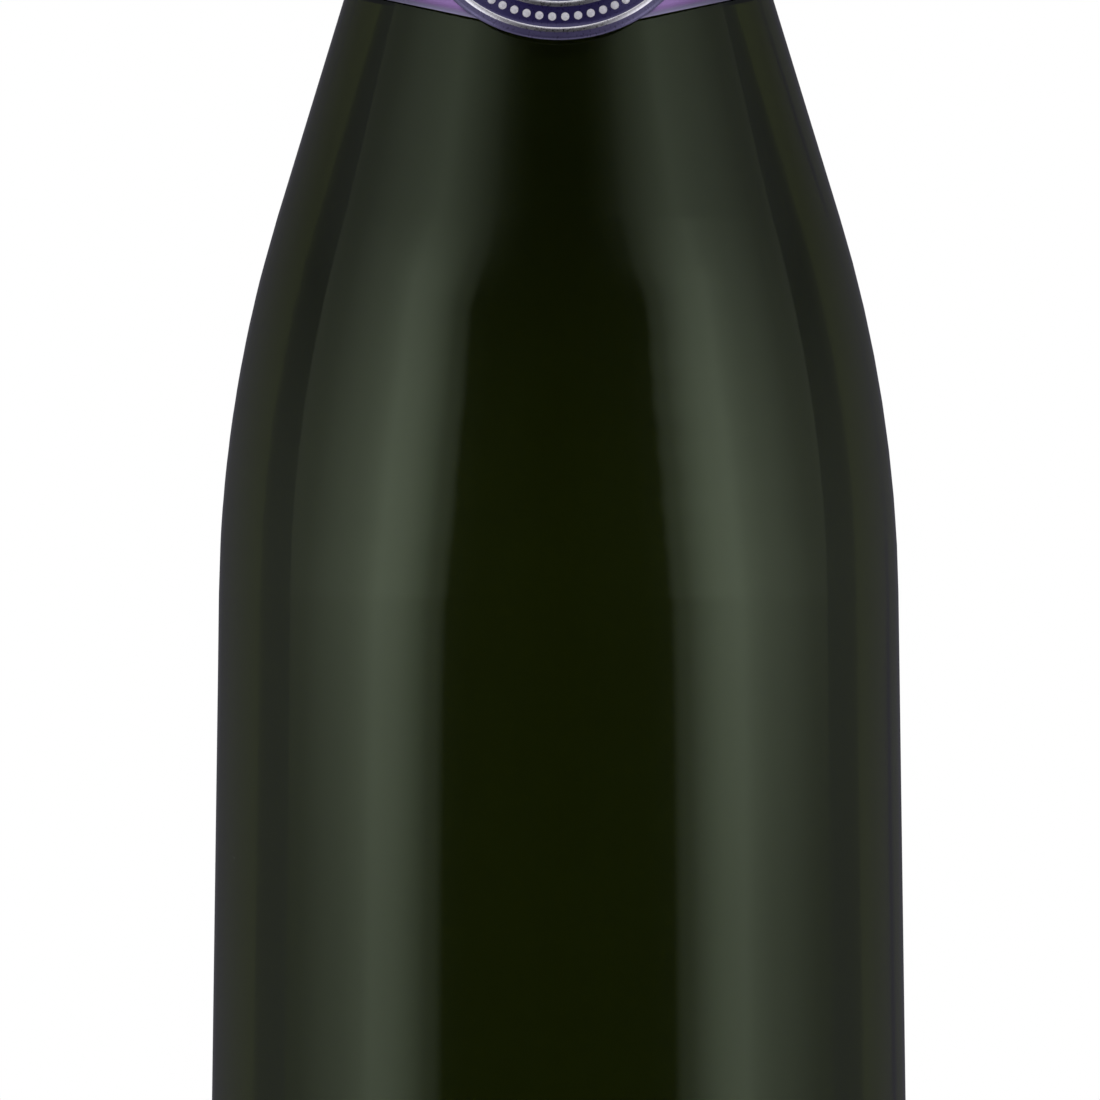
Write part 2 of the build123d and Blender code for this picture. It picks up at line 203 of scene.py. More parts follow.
# Clear liquid: a smooth surface and a straw colour, a little deeper in places.
wine = blank("still_wine")
spot = add(wine, "TexCoord", output="Object")
cloud = add(wine, "TexNoise", {"Vector": spot, "Scale": 1 / wine_cloud})
normal = add(wine, "Bump", {"Height": cloud, "Distance": wine_swell})
tint = blend(wine, cloud, wine_straw, wine_gold)
give_surface(wine, tint, wine_rough, normal, {"IOR": 1.34, "Transmission Weight": 1.0})
nodes["wine"].material_slots[0].material = wine


# Cork. A body of cork granules pressed with glue, and two discs punched from the bark, glued under it. The
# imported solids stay, and the materials give the granules, the dark joints and the bark's yearly lines.
granule_size = 2.6 * mm
granule_bend = 1.1 * mm
granule_edge_from = -0.02
granule_edge_to = 0.07
granule_tan = "#cda777"
granule_brown = "#ae8457"
joint_brown = "#84603c"
joint_depth = 0.12 * mm
pore_brown = "#5d3d24"
pore_size = 2.6 * mm
pore_squeeze = (1, 0.4, 1)
pore_edge = 0.25
pore_core = 0.12
pore_depth = 0.15 * mm
bark_pale = "#d0a878"
bark_dark = "#a27748"
bark_year = 2.2 * mm
wave_turn = 20
bark_bend = 2 * mm
bark_bend_every = 6 * mm
disc_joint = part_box("cork_disc_upper")[0].z
disc_moved = (17 * mm, 5 * mm, 0)
glue_whole = 0.08 * mm
glue_ends = 0.22 * mm
grit_size = 0.7 * mm
granule_grit = 0.1 * mm
bark_grit = 0.08 * mm
noise_low = 0.3
noise_high = 0.7


def spread(material, noise_value, least, most):
    """Turns a noise, which seldom leaves noise_low to noise_high, into least to most."""
    return rescale(material, noise_value, noise_low, noise_high, least, most)


# Granulated cork, ground smooth: a patchwork of tans with dark joints between the granules and small pits.
granules = blank("granulated_cork")
spot = add(granules, "TexCoord", output="Object")
grit = add(granules, "TexNoise", {"Vector": spot, "Scale": 1 / grit_size, "Detail": 3.0})
drift = add(granules, "TexNoise", {"Vector": spot, "Scale": 1 / granule_size, "Detail": 3.0}, "Color")
bent = add(granules, "VectorMath", {0: drift, "Scale": granule_bend}, operation="SCALE")
bent = add(granules, "VectorMath", {0: spot, 1: bent}, operation="ADD")
cells = add(granules, "TexVoronoi", {"Vector": bent, "Scale": 1 / granule_size}, "Color")
shade = add(granules, "SeparateColor", {0: cells})
to_edge = {"Vector": bent, "Scale": 1 / granule_size}
to_edge = add(granules, "TexVoronoi", to_edge, "Distance", feature="DISTANCE_TO_EDGE")
joint = rescale(granules, to_edge, granule_edge_from, granule_edge_to)
colour = blend(granules, shade, granule_tan, granule_brown)
colour = blend(granules, grit, colour, bark_dark)
colour = blend(granules, joint, joint_brown, colour)
rough = spread(granules, grit, least=0.7, most=0.92)
normal = add(granules, "Bump", {"Height": joint, "Distance": joint_depth})
normal = add(granules, "Bump", {"Height": grit, "Distance": granule_grit, "Normal": normal})
give_surface(granules, colour, rough, normal, {"Specular IOR Level": 0.3})
nodes["cork_body"].material_slots[0].material = granules

# Natural cork, punched and sanded: warm tan with darker yearly lines across it and scattered dark pores.
bark = blank("natural_cork")
spot = add(bark, "TexCoord", output="Object")
drift = add(bark, "TexNoise", {"Vector": spot, "Scale": 1 / bark_bend_every}, "Color")
bent = add(bark, "VectorMath", {0: drift, "Scale": bark_bend}, operation="SCALE")
bent = add(bark, "VectorMath", {0: spot, 1: bent}, operation="ADD")
height = add(bark, "SeparateXYZ", {0: spot}, "Z")
upper = compute(bark, "GREATER_THAN", height, disc_joint)
moved = add(bark, "VectorMath", {0: disc_moved, "Scale": upper}, operation="SCALE")
bent = add(bark, "VectorMath", {0: bent, 1: moved}, operation="ADD")
from_joint = compute(bark, "SUBTRACT", height, disc_joint)
from_joint = compute(bark, "ABSOLUTE", from_joint)
glued = rescale(bark, from_joint, glue_whole, glue_ends)
# At a scale of 1 a wave texture turns 20 radians a unit, so this scale gives one line a year's growth.
years = {"Vector": bent, "Scale": 2 * pi / wave_turn / bark_year}
years = add(bark, "TexWave", years, 1, bands_direction="X")
pore_spot = add(bark, "Mapping", {"Vector": bent, "Scale": pore_squeeze})
pores = add(bark, "TexVoronoi", {"Vector": pore_spot, "Scale": 1 / pore_size})
pore = rescale(bark, pores, pore_edge, pore_core)
grit = add(bark, "TexNoise", {"Vector": spot, "Scale": 1 / grit_size, "Detail": 3.0})
colour = blend(bark, years, bark_pale, bark_dark)
colour = blend(bark, pore, colour, pore_brown)
colour = blend(bark, glued, joint_brown, colour)
rough = spread(bark, grit, least=0.72, most=0.9)
normal = add(bark, "Bump", {"Height": pore, "Distance": pore_depth}, invert=True)
normal = add(bark, "Bump", {"Height": grit, "Distance": bark_grit, "Normal": normal})
give_surface(bark, colour, rough, normal, {"Specular IOR Level": 0.3})
nodes["cork_disc_upper"].material_slots[0].material = bark
nodes["cork_disc_lower"].material_slots[0].material = bark


# Wire cage. One closed steel wire makes the ring on the cork's head, four legs of two twisted strands, and
# an eye at each foot. A second wire threads the eyes under the glass ring, and its twisted ends are folded
# up into a tail with a turning loop. Both are round here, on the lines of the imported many-sided ones.
wire_half = 0.5 * mm
strand_gap = 0.08 * mm
strand_out = wire_half + strand_gap
leg_count = 4
leg_turns = 5
turn_steps = 14
cork_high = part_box("cork_body")[1]
cork_bend = 4.0 * mm
seat = 0.3 * mm
top_ring_radius = 12.8 * mm
top_ring_height = cork_high.z + seat + wire_half
head_middle = cork_high.x - cork_bend
head_height = cork_high.z - cork_bend
ring_arm = top_ring_height - head_height
leg_arm = cork_bend + seat + wire_half + strand_out
leg_radius = head_middle + leg_arm
leg_lean = radians(48)
leg_start = radians(60)
leg_spread = 1.9 * mm
ring_steps = 8
ring_left_open = 0.6
ring_foot_spread = 1.6 * strand_out
eye_radius = 1.15 * mm
eye_start = radians(15)
eye_end = radians(-260)
eye_steps = 14
eye_neck = 1.55 * mm
ring_foot = glass_height - 16.5 * mm
ring_foot_radius = 13.9 * mm
neck_foot = glass_height - 61.9 * mm
neck_foot_radius = 15.2 * mm
belt_drop = 0.35 * mm
belt_off = 0.2 * mm
belt_height = ring_foot - belt_drop - wire_half - eye_radius
belt_share = (belt_height - neck_foot) / (ring_foot - neck_foot)
neck_at_belt = neck_foot_radius + belt_share * (ring_foot_radius - neck_foot_radius)
belt_radius = neck_at_belt + belt_off + wire_half + eye_radius
belt_gap = 2.6 * mm
belt_steps = 32
leg_foot = belt_height + eye_radius + eye_neck
leg_bend_length = leg_lean * leg_arm
leg_length = leg_bend_length + head_height - leg_foot
tail_foot = belt_height + 3 * mm
tail_length = 18 * mm
tail_turns = 4
tail_foot_spread = 1.8 * strand_out
loop_length = 9 * mm
loop_half = 3 * mm
loop_steps = 14
zinc_bright = "#bdbfbd"
zinc_dull = "#8f9191"
spangle_size = 2.5 * mm
die_mark_size = 0.4 * mm
die_mark_depth = 0.02 * mm


def at_azimuth(azimuth, radius, across, height):
    """A point this far out at an azimuth from the front, and this far to its side."""
    x = radius * sin(azimuth) + across * cos(azimuth)
    y = across * sin(azimuth) - radius * cos(azimuth)
    return (x, y, height)


def leg_spot(azimuth, length, turn):
    """A point on one strand of a leg, this far down it, with its twist at this angle."""
    out = strand_out * sin(turn)
    across = strand_out * cos(turn)
    if length > leg_bend_length:
        return at_azimuth(azimuth, leg_radius + out, across, head_height + leg_bend_length - length)
    arm = ring_arm + (leg_arm - ring_arm) * min(1, length / leg_spread) + out
    lean = leg_lean - length / leg_arm
    return at_azimuth(azimuth, head_middle + arm * cos(lean), across, head_height + arm * sin(lean))


def ring_run(azimuth, side):
    """Points from the top ring, halfway to the next leg, to the head of the strand on this side."""
    head_radius = head_middle + ring_arm * cos(leg_start)
    head = head_height + ring_arm * sin(leg_start)
    points = []
    for i in range(ring_steps):
        turn = pi / leg_count * (1 - i / (ring_steps + ring_left_open))
        points.append(at_azimuth(azimuth + side * turn, top_ring_radius, 0, top_ring_height))
    middle = (top_ring_radius + head_radius) / 2
    points.append(at_azimuth(azimuth, middle, side * ring_foot_spread, (top_ring_height + head) / 2))
    points.append(at_azimuth(azimuth, head_radius, side * strand_out, head))
    return points


def strand_run(azimuth, first_turn):
    """Points down one strand of a leg."""
    steps = leg_turns * turn_steps
    points = []
    for i in range(steps + 1):
        points.append(leg_spot(azimuth, leg_length * i / steps, first_turn + 2 * pi * i / turn_steps))
    return points


def eye_run(azimuth):
    """Points round the belt wire, between the feet of a leg's two strands."""
    points = []
    for i in range(eye_steps + 1):
        angle = eye_start + i / eye_steps * (eye_end - eye_start)
        radius = belt_radius + eye_radius * cos(angle)
        across = strand_out * (2 * i / eye_steps - 1)
        points.append(at_azimuth(azimuth, radius, across, belt_height + eye_radius * sin(angle)))
    return points


def belt_run(side):
    """Points from the back of the belt, up one strand of the tail, to the top of the loop."""
    last = pi - belt_gap / belt_radius
    points = []
    for i in range(belt_steps + 1):
        points.append(at_azimuth(side * (pi - last * i / belt_steps), belt_radius, 0, belt_height))
    middle = (belt_radius + leg_radius) / 2
    points.append(at_azimuth(0, middle, side * tail_foot_spread, belt_height + wire_half))
    steps = tail_turns * turn_steps
    for i in range(steps + 1):
        turn = 2 * pi * i / turn_steps
        radius = leg_radius + side * strand_out * sin(turn)
        height = tail_foot + tail_length * i / steps
        points.append(at_azimuth(0, radius, side * strand_out * cos(turn), height))
    loop_start = -acos(strand_out / loop_half)
    loop_middle = tail_foot + tail_length + loop_length / 2
    for i in range(1, loop_steps + 1):
        angle = loop_start + (pi / 2 - loop_start) * i / loop_steps
        height = loop_middle + loop_length / 2 * sin(angle)
        points.append(at_azimuth(0, leg_radius, side * loop_half * cos(angle), height))
    return points


def drawn_wire(name, points, material):
    """A round wire on a closed run of points, as a mesh that rides on the cage."""
    curve = bpy.data.curves.new(name + "_line", "CURVE")
    curve.dimensions = "3D"
    curve.bevel_depth = wire_half
    curve.bevel_resolution = 3
    spline = curve.splines.new("POLY")
    spline.points.add(len(points) - 1)
    for line_point, point in zip(spline.points, points):
        line_point.co = (*point, 1)
    spline.use_cyclic_u = True
    line = bpy.data.objects.new(name + "_line", curve)
    data = bpy.data.meshes.new_from_object(line)
    bpy.data.objects.remove(line)
    for face in data.polygons:
        face.use_smooth = True
    data.materials.clear()
    data.materials.append(material)
    piece = bpy.data.objects.new(name, data)
    bpy.context.scene.collection.objects.link(piece)
    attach(piece, "cage")
    return piece


# Galvanised steel wire, drawn and then dipped in zinc: dull silver with a soft, patchy shine.
zinc = blank("galvanised_steel_wire")
spot = add(zinc, "TexCoord", output="Object")
patch = add(zinc, "TexNoise", {"Vector": spot, "Scale": 1 / spangle_size, "Detail": 3.0})
fine = add(zinc, "TexNoise", {"Vector": spot, "Scale": 1 / die_mark_size})
colour = blend(zinc, patch, zinc_bright, zinc_dull)
rough = spread(zinc, patch, least=0.24, most=0.42)
normal = add(zinc, "Bump", {"Height": fine, "Distance": die_mark_depth})
give_surface(zinc, colour, rough, normal, {"Metallic": 1.0})

cage_points = []
for leg in range(leg_count):
    azimuth = (leg + 0.5) * 2 * pi / leg_count
    cage_points += ring_run(azimuth, -1)
    cage_points += strand_run(azimuth, pi)
    cage_points += eye_run(azimuth)
    cage_points += strand_run(azimuth, 0)[::-1]
    cage_points += ring_run(azimuth, 1)[:0:-1]
cage = drawn_wire("cage_legs", cage_points, zinc)
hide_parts("cage_wire")

belt = drawn_wire("belt_and_tail", belt_run(1) + belt_run(-1)[-2:0:-1], zinc)
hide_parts("belt_wire")


# Plaque. A tinplate cap between the wire and the cork, stamped with a dish, a channel for the wire and a
# notched rim, and lacquered violet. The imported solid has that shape, and the material adds fine stamping.
lacquer_violet = "#7a57a0"
lacquer_deep = "#4e3468"
ray_count = 24
ray_inside = 3 * mm
ray_outside = 7.6 * mm
ray_height = 0.1 * mm
ray_foot = -0.3
ray_head = 0.7
ray_painted_highlight = 0.6
haze_size = 3 * mm
haze_height = 0.03 * mm

# Baked lacquer on tinplate: an even violet gloss over metal, with a painted highlight that
# makes the raised rays a little paler.
lacquer = blank("lacquered_tinplate")
spot = add(lacquer, "TexCoord", output="Object")
band = ring_band(lacquer, spot, ray_inside, ray_outside)
rays = waves_round(lacquer, spot, ray_count)
rays = rescale(lacquer, rays, ray_foot, ray_head)
rays = compute(lacquer, "MULTIPLY", rays, band)
haze = add(lacquer, "TexNoise", {"Vector": spot, "Scale": 1 / haze_size, "Detail": 3.0})
# The raised rays are painted paler as a painted highlight, and the haze adds the lacquer's random tone.
painted_highlight_and_haze = compute(lacquer, "MULTIPLY_ADD", rays, ray_painted_highlight, haze)
colour = blend(lacquer, painted_highlight_and_haze, lacquer_deep, lacquer_violet)
rough = spread(lacquer, haze, least=0.2, most=0.34)
normal = add(lacquer, "Bump", {"Height": rays, "Distance": ray_height})
normal = add(lacquer, "Bump", {"Height": haze, "Distance": haze_height, "Normal": normal})
finish = {"Metallic": 0.6, "Coat Weight": 0.6, "Coat Roughness": 0.08}
give_surface(lacquer, colour, rough, normal, finish)
nodes["muselet_plaque"].material_slots[0].material = lacquer


# Foil hood. A capsule of violet aluminium foil, pleated down over the cork and its cage, so that the four
# legs show through as soft ridges. Its rim is folded in at the top, under a stamped disc.
hood_low, hood_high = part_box("foil_hood")
hood_outside = hood_high.x
hood_bend = 4.5 * mm
hood_rim = 11.5 * mm
hood_sheet = 0.2 * mm
hood_steps = 360
tape_clear = hood_low.z + 6 * mm
creases_grow = 8 * mm
leg_ridge_height = 0.25 * mm
leg_ridge_sharpness = 12
hood_folds = 9
hood_fold_length = 24 * mm
hood_fold_height = 0.42 * mm
hood_pleats = 40
hood_wander = 2
hood_wander_folds = 3
wander_length = 1.0
pleat_middle = hood_high.z - 3 * mm
pleat_reach = 7 * mm
pleat_depth = 0.28 * mm
rim_from = hood_high.z - 0.2 * mm
rim_dent = 0.06 * mm
disc_low, disc_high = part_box("foil_top")
disc_thick = disc_high.z - disc_low.z
# Radius in millimetres and share of the disc's height, from its back's middle to its front's.
disc_stamping = [
    (0, 0), (13.5, 0), (13.7, 0.3), (13.5, 0.95), (12.7, 0.95), (12.2, 0.5), (9.6, 0.5), (9.2, 0.95),
    (8.6, 0.95), (8.2, 0.5), (3.8, 0.5), (3.4, 0.95), (2.6, 0.95), (2.2, 0.55), (0, 0.55),
]
disc_steps = 144
disc_rays = 18
disc_ray_inside = 3.9 * mm
disc_ray_outside = 8.1 * mm
disc_ray_height = 0.06 * mm
disc_back = disc_low.z + 0.1 * mm
# Crest and dip colours of the foil: the darker colour of each pair is painted shade in the crumples' dips.
foil_violet = "#9a74ba"
foil_deep = "#7a559e"
aluminium_bright = "#d6d7d9"
aluminium_painted_shade = "#bfc0c3"
crumple_size = 6 * mm
crumple_height = 0.3 * mm
crumple_squeeze = (1, 1, 0.4)
crumple_from = 0.35
crumple_to = 0.65
roll_grain = 0.7 * mm
roll_grain_height = 0.006 * mm
weld = 0.005 * mm


def wire_line(mesh, corners, counts):
    """An open wire through corners given as (radius, height), each run cut into this many edges."""
    corners = [Vector((radius, 0, height)) for radius, height in corners]
    points = [mesh.verts.new(corners[0])]
    for start, end, count in zip(corners, corners[1:], counts):
        for i in range(1, count + 1):
            points.append(mesh.verts.new(start.lerp(end, i / count)))
            mesh.edges.new(points[-2:])
    return points


def turned(mesh, steps):
    """Turns all of a wire once round the bottle's axis and closes the seam and the poles."""
    bmesh.ops.spin(
        mesh,
        geom=mesh.verts[:] + mesh.edges[:],
        cent=(0, 0, 0),
        axis=(0, 0, 1),
        angle=2 * pi,
        steps=steps,
        use_merge=True,
    )
    bmesh.ops.remove_doubles(mesh, verts=mesh.verts[:], dist=weld)
    bmesh.ops.recalc_face_normals(mesh, faces=mesh.faces[:])


def placed(name, mesh, materials):
    """An object from a finished mesh, in the scene."""
    data = bpy.data.meshes.new(name)
    mesh.to_mesh(data)
    mesh.free()
    for material in materials:
        data.materials.append(material)
    piece = bpy.data.objects.new(name, data)
    bpy.context.scene.collection.objects.link(piece)
    return piece


def made(name, mesh, materials, body):
    """A smooth piece from a mesh, that rides on a body and takes its finish from a slot."""
    for face in mesh.faces:
        face.smooth = True
    piece = placed(name, mesh, materials)
    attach(piece, body)
    return piece


def thicken(piece, thickness):
    """Gives a sheet its thickness, inwards from its outer face. The last material is the inside's."""
    wall = piece.modifiers.new("wall", "SOLIDIFY")
    wall.thickness = thickness
    wall.offset = -1
    wall.material_offset = len(piece.data.materials) - 1


def crease(angle, height, folds, stretch):
    """A soft random fold from -1 to 1, with about so many round the bottle, each about this long."""
    return noise.noise(Vector((folds * cos(angle), folds * sin(angle), height / stretch)))


def ramp(place, start, length):
    """0 before the start, and 1 from this length past it."""
    return min(1, max(0, (place - start) / length))


def rolled_foil(name, colour_one, colour_two, lacquered):
    """Rolled aluminium foil, bright metal with crumples that break up reflections, and painted shade in their
    dips.
    """
    material = blank(name)
    spot = add(material, "TexCoord", output="Object")
    long_spot = add(material, "Mapping", {"Vector": spot, "Scale": crumple_squeeze})
    crumple = {"Vector": long_spot, "Scale": 1 / crumple_size, "Detail": 2.5, "Roughness": 0.35}
    crumple = add(material, "TexNoise", crumple)
    grain = add(material, "TexNoise", {"Vector": spot, "Scale": 1 / roll_grain})
    # Painted shade and highlight: the colour follows the crumples' relief, darker in the dips and paler on the
    # crests.
    shade = rescale(material, crumple, crumple_from, crumple_to)
    colour = blend(material, shade, colour_one, colour_two)
    rough = spread(material, grain, least=0.24, most=0.36)
    normal = add(material, "Bump", {"Height": crumple, "Distance": crumple_height})
    normal = add(material, "Bump", {"Height": grain, "Distance": roll_grain_height, "Normal": normal})
    finish = {"Metallic": 1.0, "Coat Weight": lacquered, "Coat Roughness": 0.12}
    give_surface(material, colour, rough, normal, finish)
    return material


# The foil has a violet lacquer outside, and its inside is left bare.
violet_foil = rolled_foil("violet_aluminium_foil", foil_deep, foil_violet, lacquered=0.35)
bare_foil = rolled_foil("bare_aluminium_foil", aluminium_painted_shade, aluminium_bright, lacquered=0)

mesh = bmesh.new()
corners = [(hood_rim, hood_high.z), (hood_outside, hood_high.z), (hood_outside, hood_low.z)]
bend_point = wire_line(mesh, corners, [1, 1])[1]
bmesh.ops.bevel(
    mesh,
    geom=[bend_point],
    offset=hood_bend,
    offset_type="OFFSET",
    affect="VERTICES",
    segments=10,
    profile=0.5,
    material=-1,
)
side_run = [edge for edge in mesh.edges if edge.calc_length() > 2 * hood_bend]
bmesh.ops.subdivide_edges(mesh, edges=side_run, cuts=40)
turned(mesh, hood_steps)
for point in mesh.verts:
    angle = atan2(point.co.y, point.co.x)
    above = ramp(point.co.z, tape_clear, creases_grow)
    leg_ridge = max(0, cos(leg_count * (angle - pi / leg_count))) ** leg_ridge_sharpness
    fold = max(0, crease(angle, point.co.z, hood_folds, hood_fold_length))
    at_bend = max(0, 1 - abs(pleat_middle - point.co.z) / pleat_reach)
    wander = hood_wander * crease(angle, point.co.z, hood_wander_folds, wander_length)
    pleat = 0.5 + 0.5 * cos(hood_pleats * angle + wander)
    raised = leg_ridge_height * leg_ridge + hood_fold_height * fold
    push = above * (raised - pleat_depth * at_bend * pleat)
    point.co += Vector((cos(angle), sin(angle), 0)) * push
    if point.co.z > rim_from:
        point.co.z -= rim_dent * pleat
hood = made("hood_sheet", mesh, [violet_foil, bare_foil], "hood")
thicken(hood, hood_sheet)
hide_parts("foil_hood")

mesh = bmesh.new()
disc_line = [(radius * mm, disc_low.z + share * disc_thick) for radius, share in disc_stamping]
wire_line(mesh, disc_line, [2] * (len(disc_line) - 1))
turned(mesh, disc_steps)
for point in mesh.verts:
    out = point.co.xy.length
    if disc_ray_inside < out < disc_ray_outside and point.co.z > disc_back:
        point.co.z += disc_ray_height * cos(disc_rays * atan2(point.co.y, point.co.x))
disc = made("hood_disc", mesh, [violet_foil], "hood")
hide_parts("foil_top")


# Tear tape. A paler ribbon of foil on film round the hood's foot, embossed with ribs, with a free end to
# pull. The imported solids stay, and the material gives the ribs.
rib_spacing = 0.9 * mm
rib_height = 0.05 * mm
rib_count = round(2 * pi * hood_outside / rib_spacing)
tape_pale = "#b59bcc"
tape_deep = "#8d70a6"
tape_wear = 3 * mm

# Embossed foil laminate: satin metal, with the light caught on ribs that run up and down. Their crests
# are also painted paler and their grooves darker, as painted highlight and shade.
laminate = blank("embossed_foil_tape")
spot = add(laminate, "TexCoord", output="Object")
ribs = waves_round(laminate, spot, rib_count)
ribs = rescale(laminate, ribs, -1, 1)
wear = add(laminate, "TexNoise", {"Vector": spot, "Scale": 1 / tape_wear, "Detail": 3.0})
# Painted highlight and shade: the ribs' crests take the pale colour and their grooves the deep one.
colour = blend(laminate, ribs, tape_deep, tape_pale)
rough = spread(laminate, wear, least=0.26, most=0.4)
normal = add(laminate, "Bump", {"Height": ribs, "Distance": rib_height})
finish = {"Metallic": 1.0, "Coat Weight": 0.3, "Coat Roughness": 0.15}
give_surface(laminate, colour, rough, normal, finish)
nodes["tear_tape"].material_slots[0].material = laminate
nodes["tear_tab"].material_slots[0].material = laminate


# Foil skirt. The same foil from under the hood down to under the collar: flared and pleated at its top,
# smoothed on the glass below, with its glued lap up the back.
skirt_low, skirt_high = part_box("foil_skirt")
skirt_off = 0.35 * mm
skirt_sheet = 0.22 * mm
skirt_steps = 340
skirt_rows = [44, 14]
flare_foot = skirt_high.z - 11 * mm
flare_out = hood_outside - 0.25 * mm
skirt_pleats = 34
skirt_wander = 3
skirt_wander_folds = 2
skirt_pleat_height = 0.5 * mm
skirt_pleats_from = flare_foot - 14 * mm
skirt_pleats_grow = 18 * mm
flare_flattens = 0.7
smooth_below = 226 * mm
skirt_folds = 7
skirt_fold_length = 30 * mm
skirt_fold_height = 0.3 * mm
skirt_folds_grow = 10 * mm
lap_half = 3 * mm
lap_rise = 0.15 * mm
# The corners of the glass outside, as (radius, height): the cone runs from the first to the second, and the
# neck from there to the third. The bend between them starts this reach from the second.
shoulder_corner = Vector((42.6 * mm, 0.495 * glass_height))
neck_corner = Vector((neck_foot_radius, neck_foot))
ring_corner = Vector((ring_foot_radius, ring_foot))
neck_reach = 27 * mm
cone_run = (neck_corner - shoulder_corner).normalized()
neck_run = (ring_corner - neck_corner).normalized()
neck_bend = neck_reach / tan(cone_run.angle(neck_run) / 2)
bend_low = neck_corner - cone_run * neck_reach
bend_high = neck_corner + neck_run * neck_reach
bend_middle = bend_low + Vector((cone_run.y, -cone_run.x)) * neck_bend


def straight_radius(height, low, high):
    """Radius at a height on the straight run between two corners."""
    share = (height - low.y) / (high.y - low.y)
    return low.x + share * (high.x - low.x)


def neck_radius(height, off):
    """Radius of a sheet this far off the glass, on the cone, on the bend or on the neck."""
    if height < bend_low.y:
        return straight_radius(height, shoulder_corner, neck_corner) + off / cone_run.y
    if height > bend_high.y:
        return straight_radius(height, neck_corner, ring_corner) + off / neck_run.y
    return bend_middle.x - sqrt((neck_bend - off) ** 2 - (height - bend_middle.y) ** 2)


mesh = bmesh.new()
corners = [(1, skirt_low.z), (1, flare_foot), (1, skirt_high.z)]
wire_line(mesh, corners, skirt_rows)
turned(mesh, skirt_steps)
for point in mesh.verts:
    angle = atan2(point.co.y, point.co.x)
    height = point.co.z
    flare = max(0, (height - flare_foot) / (skirt_high.z - flare_foot))
    radius = neck_radius(min(height, flare_foot), skirt_off)
    radius += flare * (flare_out - radius)
    wander = skirt_wander * crease(angle, height, skirt_wander_folds, wander_length)
    pleat = max(0, cos(skirt_pleats * angle + wander)) ** 2
    pleated = ramp(height, skirt_pleats_from, skirt_pleats_grow) * (1 - flare_flattens * flare)
    folded = ramp(height, smooth_below, skirt_folds_grow)
    fold = max(0, crease(angle, height, skirt_folds, skirt_fold_length))
    radius += skirt_pleat_height * pleated * pleat + skirt_fold_height * folded * fold
    if abs(angle - pi / 2) * radius < lap_half and height > smooth_below:
        radius += lap_rise
    point.co.x *= radius
    point.co.y *= radius
skirt = made("skirt_sheet", mesh, [violet_foil, bare_foil], "bottle")
thicken(skirt, skirt_sheet)
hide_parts("foil_skirt")


# Collar. A band of metallised paper, printed violet and varnished, with an embossed border on both edges.
# It is glued round the foot of the foil, and drawn to a point under and over the medallion.
collar_middle = glass_height - 91.5 * mm
collar_half = 8.7 * mm
collar_point = 5.2 * mm
collar_off = 0.65 * mm
collar_sheet = 0.2 * mm
collar_rows = 48
collar_steps = 400
collar_rounds = 6
border_width = 0.35 * mm
border_slope = 0.4 * mm
border_rise = 0.12 * mm
collar_reach = neck_radius(collar_middle, collar_off)
collar_violet = "#a683c2"
collar_deep = "#8f6cae"
border_grey = "#8a83a6"
paper_grain = 0.35 * mm
paper_height = 0.015 * mm
ink_cloud = 9 * mm


def collar_edge(x, at_front, side):
    """Height of the collar's upper edge (side 1) or lower edge (side -1), this far across the front."""
    drop = collar_point * max(0, 1 - abs(x) / collar_reach) if at_front else 0
    return collar_middle + side * (collar_half + drop)


# Vacuum-metallised paper under violet ink and varnish: satin metal with the paper's fine grain in it.
metal_paper = blank("metallised_violet_paper")
spot = add(metal_paper, "TexCoord", output="Object")
grain = add(metal_paper, "TexNoise", {"Vector": spot, "Scale": 1 / paper_grain, "Detail": 3.0})
cloud = add(metal_paper, "TexNoise", {"Vector": spot, "Scale": 1 / ink_cloud})
border = add(metal_paper, "Attribute", {}, "Fac", attribute_name="border")
colour = blend(metal_paper, cloud, collar_deep, collar_violet)
colour = blend(metal_paper, border, colour, border_grey)
rough = spread(metal_paper, grain, least=0.28, most=0.38)
normal = add(metal_paper, "Bump", {"Height": grain, "Distance": paper_height})
finish = {"Metallic": 0.85, "Coat Weight": 0.5, "Coat Roughness": 0.2}
give_surface(metal_paper, colour, rough, normal, finish)

# The band starts as a unit tube. The edges' heights depend on the radius there, and the radius on the height,
# so a few rounds bring the two together.
mesh = bmesh.new()
wire_line(mesh, [(1, 0), (1, 1)], [collar_rows])
turned(mesh, collar_steps)
border_layer = mesh.verts.layers.float.new("border")
for point in mesh.verts:
    angle = atan2(point.co.y, point.co.x)
    at_front = point.co.y < 0
    share = 0.5 - 0.5 * cos(pi * point.co.z)
    height = collar_middle
    for _ in range(collar_rounds):
        x = cos(angle) * neck_radius(height, collar_off)
        low = collar_edge(x, at_front, -1)
        high = collar_edge(x, at_front, 1)
        height = low + share * (high - low)
    inset = min(share, 1 - share) * (high - low)
    raised = min(1, max(0, 1 - (inset - border_width) / border_slope))
    radius = neck_radius(height, collar_off) + border_rise * raised
    if abs(angle - pi / 2) * radius < lap_half:
        radius += lap_rise
    point[border_layer] = raised
    point.co = (cos(angle) * radius, sin(angle) * radius, height)
collar = made("collar_band", mesh, [metal_paper], "bottle")
thicken(collar, collar_sheet)
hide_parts("collar_label")


# Medallion. An oval of the same paper, printed and embossed in one strike: a violet rim, a silver ring, a
# dark band with pearl white beads, an inner silver ring, and a plain bunch of grapes under its leaf.
shield_half_width = 17.5 * mm
shield_half_height = 14.5 * mm
shield_spare = shield_half_width - shield_half_height
shield_off = 1.1 * mm
shield_round = 6 * mm
